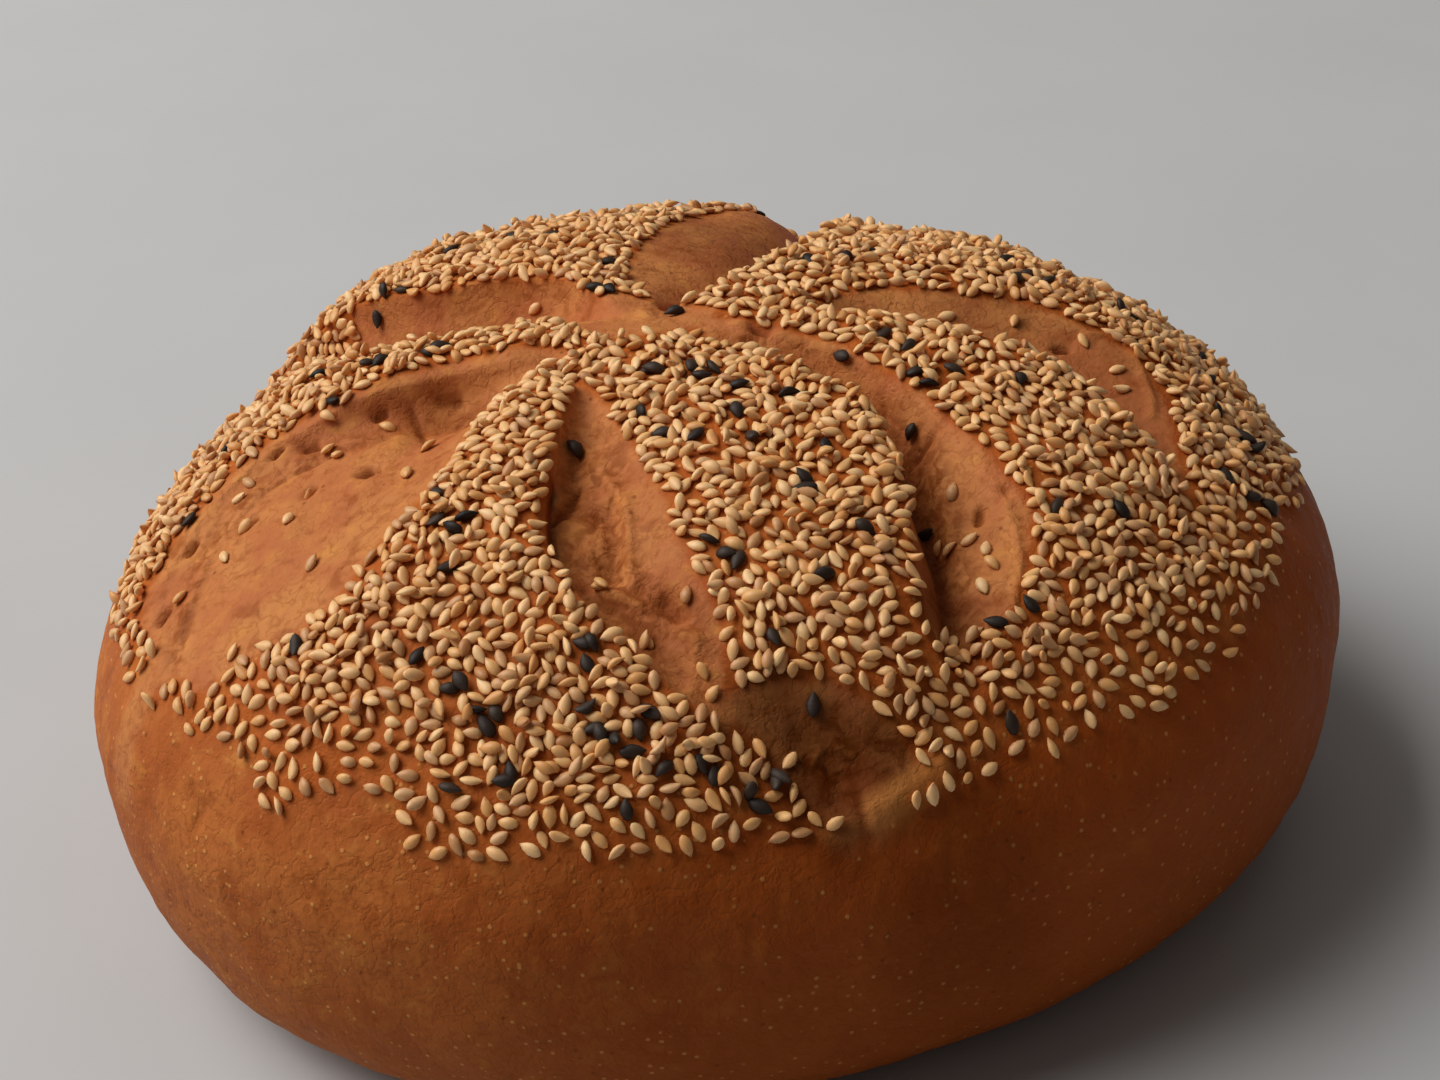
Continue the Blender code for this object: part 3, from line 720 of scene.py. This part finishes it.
# Colours are in linear light. Each tint of the crust has its full strength beside it.
SIDE_COLOURS = ((0.41, 0.105, 0.023, 1), (0.50, 0.152, 0.035, 1))
SLOPE_COLOURS = ((0.48, 0.150, 0.050, 1), (0.55, 0.205, 0.062, 1))
CRUST_TINTS = {
    "pale": (0.45, (0.66, 0.28, 0.065, 1)),
    "dark": (0.60, (0.28, 0.062, 0.009, 1)),
    "mottle": (0.40, (0.30, 0.070, 0.010, 1)),
    # Painted shade in the grooves of the wrinkles.
    "crease_shade": (0.30, (0.26, 0.055, 0.008, 1)),
    # Crust between seeds: partly its own bake, partly painted shade from the seeds.
    "seeded": (0.55, (0.42, 0.092, 0.010, 1)),
    # Painted shade: redder, darker crust on the side away from the key light.
    "shaded_side": (0.75, (0.34, 0.055, 0.003, 1)),
    "under": (0.35, (0.26, 0.068, 0.012, 1)),
    "blister": (0.55, (0.72, 0.34, 0.10, 1)),
    "speck": (0.60, (0.16, 0.035, 0.006, 1)),
    # Painted shade, darker and redder, deep in each cut.
    "floor": (0.40, (0.36, 0.090, 0.014, 1)),
    "torn": (0.80, (0.25, 0.060, 0.010, 1)),
    # The darkest tint, for crust baked dark and for painted shade.
    "burnt_shade": (1.00, (0.066, 0.011, 0.001, 1)),
    # Paler crust on raised folds and rolls: partly their own colour, partly a painted highlight.
    "fold": (0.45, (0.62, 0.245, 0.062, 1)),
    # Painted shade inside dents, slots and pits.
    "dent": (0.75, (0.15, 0.026, 0.004, 1)),
}
# How much of the darker crust and its painted shade lies in spots, and how much evenly.
BURNT_SHADE_IN_SPOTS = 0.18
BURNT_SHADE_EVENLY = 0.80
CRUST_SHINE = 0.07
# How much of a dot shows in full.
DOT_CORE = 0.4
# A light seed's own colour, a deeper one in streaks, and its tip's.
SEED_COLOURS = {
    "pale": ((0.90, 0.57, 0.275, 1), (0.76, 0.41, 0.160, 1), (0.48, 0.20, 0.06, 1)),
    "golden": ((0.82, 0.47, 0.190, 1), (0.68, 0.32, 0.100, 1), (0.40, 0.15, 0.04, 1)),
    "toasted": ((0.72, 0.42, 0.20, 1), (0.50, 0.22, 0.075, 1), (0.30, 0.11, 0.035, 1)),
}
BLACK_COLOURS = ((0.012, 0.007, 0.005, 1), (0.046, 0.027, 0.018, 1))
FLOOR_COLOURS = ((0.50, 0.50, 0.505, 1), (0.54, 0.54, 0.54, 1))


def feed(tree, node, **inputs):
    """Sets the node's sockets, or links them where a value is a socket."""
    for name, value in inputs.items():
        target = node.inputs[int(name[1:])] if name[0] == "_" else node.inputs[name.replace("_", " ")]
        if isinstance(value, bpy.types.NodeSocket):
            tree.links.new(value, target)
        else:
            target.default_value = value
    return node


def add(tree, kind, **inputs):
    return feed(tree, tree.nodes.new(kind), **inputs)


def new_material(name):
    material = bpy.data.materials.new(name)
    material.use_nodes = True
    tree = material.node_tree
    return material, tree, tree.nodes["Principled BSDF"]


def field(tree, name):
    made = tree.nodes.new("ShaderNodeAttribute")
    made.attribute_name = name
    return made.outputs["Fac"]


def maths(tree, operation, first, second=0.0):
    made = add(tree, "ShaderNodeMath", _0=first, _1=second)
    made.operation = operation
    return made.outputs[0]


def times(tree, first, second):
    return maths(tree, "MULTIPLY", first, second)


def less(tree, value):
    """What the value leaves of 1."""
    return maths(tree, "SUBTRACT", 1.0, value)


def mix(tree, share, first, second):
    made = tree.nodes.new("ShaderNodeMix")
    made.data_type = "RGBA"
    return feed(tree, made, _0=share, _6=first, _7=second).outputs[2]


def between(tree, value, low, high):
    """A smooth share from 0 at low to 1 at high."""
    made = add(tree, "ShaderNodeMapRange", _0=value, _1=low, _2=high)
    made.interpolation_type = "SMOOTHSTEP"
    return made.outputs[0]


def texture(tree, kind, spacing, **inputs):
    """A texture in the loaf's own coordinates, its lumps or dots about one spacing apart."""
    where = tree.nodes.get("where") or tree.nodes.new("ShaderNodeTexCoord")
    where.name = "where"
    return add(tree, kind, Vector=where.outputs["Object"], Scale=1.0 / MM / spacing, **inputs)


def grain(tree, spacing, detail, warp=0.0):
    return texture(tree, "ShaderNodeTexNoise", spacing, Detail=detail, Distortion=warp).outputs["Fac"]


def dots(tree, spacing, size, channel, chosen_from, all_chosen):
    """1 in small round dots, of which chance picks some, and 0 elsewhere."""
    made = texture(tree, "ShaderNodeTexVoronoi", spacing, Randomness=1.0)
    chance = add(tree, "ShaderNodeSeparateColor", Color=made.outputs["Color"]).outputs[channel]
    dot = between(tree, made.outputs["Distance"], size, size * DOT_CORE)
    return times(tree, dot, between(tree, chance, chosen_from, all_chosen))


def add_bumps(tree, shader, bumps):
    """Bumps over one another: how strong and how deep in millimetres each is, and its height."""
    below = {}
    for strength, depth, height in bumps:
        made = add(tree, "ShaderNodeBump", Strength=strength, Distance=depth * MM, Height=height, **below)
        below = {"Normal": made.outputs[0]}
    feed(tree, shader, **below)


def crust_shares(tree, fields, broad, middle, wrinkle):
    """Where on the crust each tint shows, from 0 to 1, in the order in which they are laid on."""
    covered = maths(tree, "MAXIMUM", fields["bare"], fields["seeded"])
    # Darker crust, partly baked and partly painted shade, part of it in spots.
    burnt_shade = times(tree, fields["baked"], between(tree, grain(tree, 3.0, 3.0, 0.6), 0.70, 0.36))
    burnt_shade, evenly = times(tree, burnt_shade, BURNT_SHADE_IN_SPOTS), times(tree, fields["baked"], BURNT_SHADE_EVENLY)
    rags = between(tree, grain(tree, 2.4, 3.0, 0.8), 0.62, 0.36)
    return {
        "pale": between(tree, middle, 0.52, 0.74),
        "dark": between(tree, middle, 0.48, 0.28),
        "mottle": between(tree, grain(tree, 1.7, 3.0), 0.46, 0.28),
        # Painted shade in the grooves that the wrinkle bump sinks.
        "crease_shade": times(tree, less(tree, wrinkle), between(tree, broad, 0.42, 0.60)),
        # Crust between seeds: partly its own bake, partly painted shade from the seeds.
        "seeded": fields["seeded"],
        # Painted shade on the plain crust of the side away from the key light.
        "shaded_side": times(tree, less(tree, covered), fields["shaded_side"]),
        "under": between(tree, fields["low"], 0.34, 0.62),
        "blister": times(tree, dots(tree, 1.7, 0.27, 0, 0.45, 0.70), less(tree, fields["bare"])),
        "speck": dots(tree, 3.4, 0.15, 1, 0.5, 0.6),
        # Painted shade deep in each cut.
        "floor": between(tree, fields["sunk"], 0.45, 1.0),
        "torn": times(tree, fields["torn"], rags),
        "burnt_shade": maths(tree, "ADD", burnt_shade, evenly),
        # Paler crust on raised folds and rolls: partly their own colour, partly a painted highlight.
        "fold": between(tree, fields["fold"], 0.15, 0.9),
        # Painted shade inside dents, slots and pits.
        "dent": between(tree, fields["dent"], 0.25, 0.9),
    }


def crust_material():
    material, tree, shader = new_material("crust")
    fields = {name: field(tree, name) for name in CRUST_FIELDS}
    broad, middle, small = grain(tree, 16.0, 3.0, 0.6), grain(tree, 4.5, 4.0, 0.4), grain(tree, 1.1, 3.0)
    ridged = maths(tree, "ABSOLUTE", maths(tree, "SUBTRACT", grain(tree, 3.0, 4.0, 0.25), 0.5))
    wrinkle = between(tree, ridged, 0.0, 0.055)
    side = mix(tree, between(tree, broad, 0.35, 0.65), *SIDE_COLOURS)
    slope = mix(tree, between(tree, broad, 0.38, 0.62), *SLOPE_COLOURS)
    colour = mix(tree, fields["bare"], side, slope)
    shares = crust_shares(tree, fields, broad, middle, wrinkle)
    laid = {}
    for name, share in shares.items():
        strength, tint = CRUST_TINTS[name]
        laid[name] = times(tree, share, strength)
        colour = mix(tree, laid[name], colour, tint)
    roughness = add(tree, "ShaderNodeMapRange", _0=middle, _1=0.3, _2=0.7, _3=0.50, _4=0.68)
    dull = maths(tree, "MAXIMUM", laid["dent"], laid["burnt_shade"])
    feed(tree, shader, Base_Color=colour, Roughness=roughness.outputs[0],
         Specular_IOR_Level=times(tree, less(tree, dull), CRUST_SHINE))
    add_bumps(tree, shader, [(0.65, 0.42, middle), (0.35, 0.20, wrinkle), (0.75, 0.26, small),
                             (0.6, 0.18, shares["blister"])])
    return material


def seed_material(name, pale, deep, tip):
    material, tree, shader = new_material(name)
    colour = mix(tree, field(tree, "tone"), deep, pale)
    streaks = between(tree, grain(tree, 1.4, 2.0), 0.42, 0.66)
    colour = mix(tree, times(tree, streaks, 0.35), colour, deep)
    tips = between(tree, field(tree, "along"), 0.24, 0.0)
    colour = mix(tree, times(tree, tips, 0.55), colour, tip)
    feed(tree, shader, Base_Color=colour, Roughness=0.40, Specular_IOR_Level=0.36, Subsurface_Weight=0.25,
         Subsurface_Radius=(1.0, 0.45, 0.18), Subsurface_Scale=0.9 * MM)
    add_bumps(tree, shader, [(0.25, 0.06, grain(tree, 0.5, 2.0))])
    return material


def black_material(name):
    material, tree, shader = new_material(name)
    colour = mix(tree, field(tree, "tone"), *BLACK_COLOURS)
    feed(tree, shader, Base_Color=colour, Roughness=0.55, Specular_IOR_Level=0.26)
    add_bumps(tree, shader, [(0.5, 0.10, grain(tree, 0.45, 3.0))])
    return material


# Seeds


def seed_form():
    """A teardrop along x, one unit long, wide and thick: corners, triangles and share along it."""
    turns = 2 * math.pi * np.arange(SEED_SIDES) / SEED_SIDES
    corners, shares = [(-0.5, 0.0, 0.0)], [0.0]
    for share in SEED_STATIONS:
        roundness = SEED_ROUNDNESS - SEED_TAPER * share
        wide = math.sin(math.pi * share**SEED_FULLNESS) ** roundness / 2
        corners += [(share - 0.5, wide * math.cos(turn), wide * math.sin(turn)) for turn in turns]
        shares += [share] * SEED_SIDES
    corners.append((0.5, 0.0, 0.0))
    shares.append(1.0)
    faces = []
    last = len(corners) - 1
    for side in range(SEED_SIDES):
        after = (side + 1) % SEED_SIDES
        faces.append((0, 1 + after, 1 + side))
        for number in range(len(SEED_STATIONS) - 1):
            near, far = 1 + number * SEED_SIDES, 1 + (number + 1) * SEED_SIDES
            faces.append((near + side, near + after, far + after))
            faces.append((near + side, far + after, far + side))
        faces.append((last, last - SEED_SIDES + side, last - SEED_SIDES + after))
    return np.array(corners), np.array(faces), np.array(shares)


def spheres_of(seed):
    """Three balls that stand in for a seed when seeds are kept apart."""
    spot, axes, size = seed["spot"], seed["axes"], seed["size"][0] / SEED_SIZE[0]
    return [(spot + axes[0] * along * size, radius * size) for along, radius in SEED_SPHERES]


def cell_of(spot):
    return tuple(int(math.floor(part / CELL)) for part in spot)


def neighbours(laid, spot):
    x, y, z = cell_of(spot)
    for i in (x - 1, x, x + 1):
        for j in (y - 1, y, y + 1):
            for k in (z - 1, z, z + 1):
                yield from laid.get((i, j, k), ())


def clashes(laid, seed, extra):
    """Whether the seed is too near to one that is laid, with some extra room between them."""
    mine = spheres_of(seed)
    for other in neighbours(laid, seed["spot"]):
        if (seed["spot"] - other["spot"]).length < LEAST_APART + extra:
            return True
        for spot, radius in mine:
            for there, size in other["spheres"]:
                if (spot - there).length < radius + size - SQUEEZE + extra:
                    return True
    return False


def any_kind(draw, spot):
    """A kind of light seed, drawn by its share at the spot's height."""
    kinds, low, top = zip(*KINDS)
    rise = smooth(*LOW_TO_TOP, spot.z)
    return draw.choices(kinds, [start + (end - start) * rise for start, end in zip(low, top)])[0]


def seed_at(draw, spot, normal, kind, lift=SEED_LIFT):
    """A seed lying on the crust at a spot, turned at random, now and then on its edge or its end."""
    turn = draw.uniform(0.0, 2 * math.pi)
    roll, pitch = draw.gauss(0.0, ROLL_SPREAD), draw.gauss(0.0, PITCH_SPREAD)
    if draw.random() < ON_EDGE:
        roll = draw.uniform(*EDGE_ROLLS)
    elif draw.random() < ON_END:
        pitch = draw.choice((-1, 1)) * draw.uniform(*END_PITCHES)
    lie = normal.to_track_quat("Z", "Y").to_matrix()
    turned = Matrix.Rotation(turn, 3, "Z") @ Matrix.Rotation(pitch, 3, "Y")
    axes = lie @ (turned @ Matrix.Rotation(roll, 3, "X"))
    scale = draw.gauss(1.0, SIZE_SPREAD)
    base = BLACK_SIZE if kind == "black" else SEED_SIZE
    size = [part * scale * draw.gauss(1.0, PART_SPREAD) for part in base]
    rise = lift + EDGE_LIFT * abs(math.sin(roll)) + END_LIFT * abs(math.sin(pitch))
    return {
        "spot": spot + normal * rise,
        "axes": [axis.copy() for axis in axes.col],
        "size": size,
        "kind": kind,
        "tone": min(1.0, max(0.0, draw.gauss(*SEED_TONE))),
        "bend": draw.gauss(0.0, SEED_BEND),
    }


def crosses(points, faces):
    """Each triangle's normal, twice as long as the triangle is large."""
    corners = points[faces]
    return np.cross(corners[:, 1] - corners[:, 0], corners[:, 2] - corners[:, 0])


def vertex_normals(points, faces):
    normals, sizes = np.zeros_like(points), crosses(points, faces)
    for corner in range(3):
        np.add.at(normals, faces[:, corner], sizes)
    return normals / np.maximum(length(normals), NEAR_ZERO)[:, None]


class Scatter:
    """Seeds laid on the crust one after another, kept apart by their balls."""

    def __init__(self, points, faces, fields):
        self.points, self.faces, self.fields = points, faces, fields
        self.normals = vertex_normals(points, faces)
        self.draw = random.Random(SCATTER_DRAW)
        self.draws = np.random.default_rng(SCATTER_DRAW)
        self.laid, self.seeds = {}, []

    def put(self, seed):
        seed["spheres"] = spheres_of(seed)
        self.laid.setdefault(cell_of(seed["spot"]), []).append(seed)
        self.seeds.append(seed)

    def spots(self, least, count):
        """Random spots with at least so much room and so far above the limit, with what is there."""
        room, above = (self.fields[name][self.faces].mean(1) for name in ("room", "above"))
        chosen = self.faces[(room > least[0]) & (above > least[1])]
        sizes = length(crosses(self.points, chosen))
        picks = self.draws.choice(len(chosen), count, p=sizes / sizes.sum())
        u, v = self.draws.random(count), self.draws.random(count)
        flip = u + v > 1.0
        u, v = np.where(flip, 1.0 - u, u), np.where(flip, 1.0 - v, v)
        shares = np.column_stack([1.0 - u - v, u, v])
        trio = chosen[picks]
        spots = (self.points[trio] * shares[:, :, None]).sum(1)
        normals = (self.normals[trio] * shares[:, :, None]).sum(1)
        normals /= length(normals)[:, None]
        room, above = ((self.fields[name][trio] * shares).sum(1) for name in ("room", "above"))
        return zip(spots, normals, room, above)

    def in_places(self):
        """The black and the lone seeds in their given places."""
        surface = BVHTree.FromPolygons([Vector(spot) for spot in self.points], self.faces.tolist())
        down = Vector((0.0, 0.0, -1.0))
        for places, black in ((BLACK_PLACES, True), (LONE_PLACES, False)):
            lift = SEED_LIFT + BLACK_LIFT * black
            for x, y in places:
                x += self.draw.uniform(-PLACE_JITTER, PLACE_JITTER)
                y += self.draw.uniform(-PLACE_JITTER, PLACE_JITTER)
                spot, normal, _, _ = surface.ray_cast(Vector((x, y, 2 * HEIGHT)), down)
                kind = "black" if black else any_kind(self.draw, spot)
                seed = seed_at(self.draw, spot, normal, kind, lift)
                for _ in range(PLACE_TURNS):
                    if not clashes(self.laid, seed, 0.0):
                        break
                    seed = seed_at(self.draw, spot, normal, kind, lift)
                else:
                    seed["spot"] = seed["spot"] + normal * OVER_OTHERS
                self.put(seed)

    def coat(self):
        """The coat, packed side by side, with some black seeds at the back."""
        blacks = BLACK_AT_BACK
        for spot, normal, room, above in self.spots(COAT_FACES, CANDIDATES):
            if room < COAT_ROOM or above < 0.0:
                continue
            spot, normal = Vector(spot), Vector(normal)
            extra = extra_room(spot, above)
            kind = any_kind(self.draw, spot)
            if blacks and spot.y > BACK_FROM and self.draw.random() < BLACK_CHANCE:
                kind = "black"
            for _ in range(TURNS_TRIED):
                seed = seed_at(self.draw, spot, normal, kind)
                if not clashes(self.laid, seed, extra):
                    self.put(seed)
                    blacks -= kind == "black"
                    break

    def stack(self):
        """Seeds on top of the coat."""
        stacked = 0
        for spot, normal, _, _ in self.spots(STACK_FACES, STACK_TRIES):
            if stacked == STACKED:
                break
            spot, normal = Vector(spot), Vector(normal)
            seed = seed_at(self.draw, spot, normal, any_kind(self.draw, spot), SEED_LIFT + STACK_LIFT)
            for _ in range(STACK_STEPS):
                if not clashes(self.laid, seed, STACK_TOUCH):
                    self.put(seed)
                    stacked += 1
                    break
                seed["spot"] = seed["spot"] + normal * STACK_STEP


def extra_room(spot, above):
    """How much further apart seeds lie at a spot: near the limit, in drifts and in sparse places."""
    fringe = 1.0 - min(1.0, above / FRINGE_DEPTH)
    thin = max(0.0, noise.noise(spot / DRIFT_SPACING) + DRIFT_SHARE)
    extra = CLOSE_GAP + FRINGE_GAP * fringe**2 + DRIFT_GAP * thin * (fringe + DRIFT_ON_TOP)
    for place, spread in SPARSE:
        extra += SPARSE_GAP * math.exp(-(math.dist(spot[:2], place) / spread) ** 2)
    return extra


def seed_piece(name, seeds, material):
    """Seeds of one kind, joined in one mesh."""
    corners, faces, shares = seed_form()
    spots_all, faces_all, tones = [], [], []
    for number, seed in enumerate(seeds):
        local = corners * seed["size"]
        local[:, 2] += seed["bend"] * (local[:, 0] ** 2 - BEND_LEVEL)
        axes = np.array([tuple(axis) for axis in seed["axes"]])
        spots_all.append(local @ axes + np.array(tuple(seed["spot"])))
        faces_all.append(faces + number * len(corners))
        tones.append(np.full(len(corners), seed["tone"]))
    fields = {"tone": np.concatenate(tones), "along": np.tile(shares, len(seeds))}
    return new_mesh(name, np.vstack(spots_all), np.vstack(faces_all), fields, material)


def make_pieces():
    """The crust and the seeds of each kind."""
    points, faces, fields = make_crust()
    shown = {name: fields[name] for name in CRUST_FIELDS}
    pieces = [new_mesh("loaf_crust", points, faces, shown, crust_material())]
    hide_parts("loaf")
    scatter = Scatter(points, faces, fields)
    scatter.in_places()
    scatter.coat()
    scatter.stack()
    for kind in (*SEED_COLOURS, "black"):
        name = f"sesame_{kind}"
        material = black_material(name) if kind == "black" else seed_material(name, *SEED_COLOURS[kind])
        seeds = [seed for seed in scatter.seeds if seed["kind"] == kind]
        pieces.append(seed_piece(name, seeds, material))
    return pieces


# The scene

# The floor lies just under the loaf, so that the two don't share a plane.
FLOOR_REACH = 3000.0
FLOOR_LEVEL = -0.2
# Lights: azimuth and elevation in degrees, distance and width in metres, power in watts and colour.
LIGHTS = {
    "key": (171.0, 49.0, 2.2, 1.9, 60.0, (1.0, 0.985, 0.96)),
    "fill": (70.0, 60.0, 1.6, 1.4, 1.5, (1.0, 0.97, 0.92)),
}
LIGHTS_AIM = (0.0, 0.0, 45.0)
WORLD_COLOUR = (0.265, 0.255, 0.24, 1)
WORLD_STRENGTH = 0.36
# The camera: its pitch in degrees, its roll in radians, what it is aimed at and how far away that is.
CAMERA_PITCH = 31.0
CAMERA_ROLL = -0.056
CAMERA_AIM = (3.51, 3.05, 45.78)
CAMERA_AWAY = 450.0
CAMERA_LENS = 66.72
CLIP_START = 0.01


def make_floor():
    material, tree, shader = new_material("floor")
    shade = mix(tree, grain(tree, 60.0, 3.0), *FLOOR_COLOURS)
    feed(tree, shader, Base_Color=shade, Roughness=0.85, Specular_IOR_Level=0.2)
    corners = ((-1, -1), (1, -1), (1, 1), (-1, 1))
    points = np.array([(x * FLOOR_REACH, y * FLOOR_REACH, FLOOR_LEVEL) for x, y in corners])
    return new_mesh("floor", points, np.array([(0, 1, 2, 3)]), {}, material)


def make_light(name, azimuth, elevation, away, size, power, colour):
    """A soft square light that looks at the middle of the loaf."""
    light = bpy.data.lights.new(name, "AREA")
    light.size = size
    light.energy = power
    light.color = colour
    lamp = bpy.data.objects.new(name, light)
    turn, rise = math.radians(azimuth), math.radians(elevation)
    towards = Vector((math.cos(rise) * math.cos(turn), math.cos(rise) * math.sin(turn), math.sin(rise)))
    lamp.location = Vector(LIGHTS_AIM) * MM + towards * away
    lamp.rotation_euler = towards.to_track_quat("Z", "Y").to_euler()
    bpy.context.scene.collection.objects.link(lamp)


def make_camera():
    """The photograph's view: from above the front, rolled a little."""
    pitch, roll = math.radians(CAMERA_PITCH), CAMERA_ROLL
    ahead = Vector((0.0, math.cos(pitch), -math.sin(pitch)))
    level, up = Vector((1.0, 0.0, 0.0)), Vector((0.0, math.sin(pitch), math.cos(pitch)))
    right = math.cos(roll) * level + math.sin(roll) * up
    top = math.cos(roll) * up - math.sin(roll) * level
    view = bpy.data.cameras.new("camera")
    view.lens = CAMERA_LENS
    view.clip_start = CLIP_START
    camera = bpy.data.objects.new("camera", view)
    turned = Matrix((right, top, -ahead)).transposed().to_4x4()
    aim = Vector(CAMERA_AIM) * MM
    camera.matrix_world = Matrix.Translation(aim - ahead * (CAMERA_AWAY * MM)) @ turned
    bpy.context.scene.collection.objects.link(camera)
    bpy.context.scene.camera = camera


def make_world():
    world = bpy.data.worlds.new("studio")
    world.use_nodes = True
    tree = world.node_tree
    feed(tree, tree.nodes["Background"], Color=WORLD_COLOUR, Strength=WORLD_STRENGTH)
    bpy.context.scene.world = world
    bpy.context.scene.view_settings.view_transform = "Standard"


for piece in make_pieces():
    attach(piece, "root")
make_floor()
for name, settings in LIGHTS.items():
    make_light(name, *settings)
make_camera()
make_world()
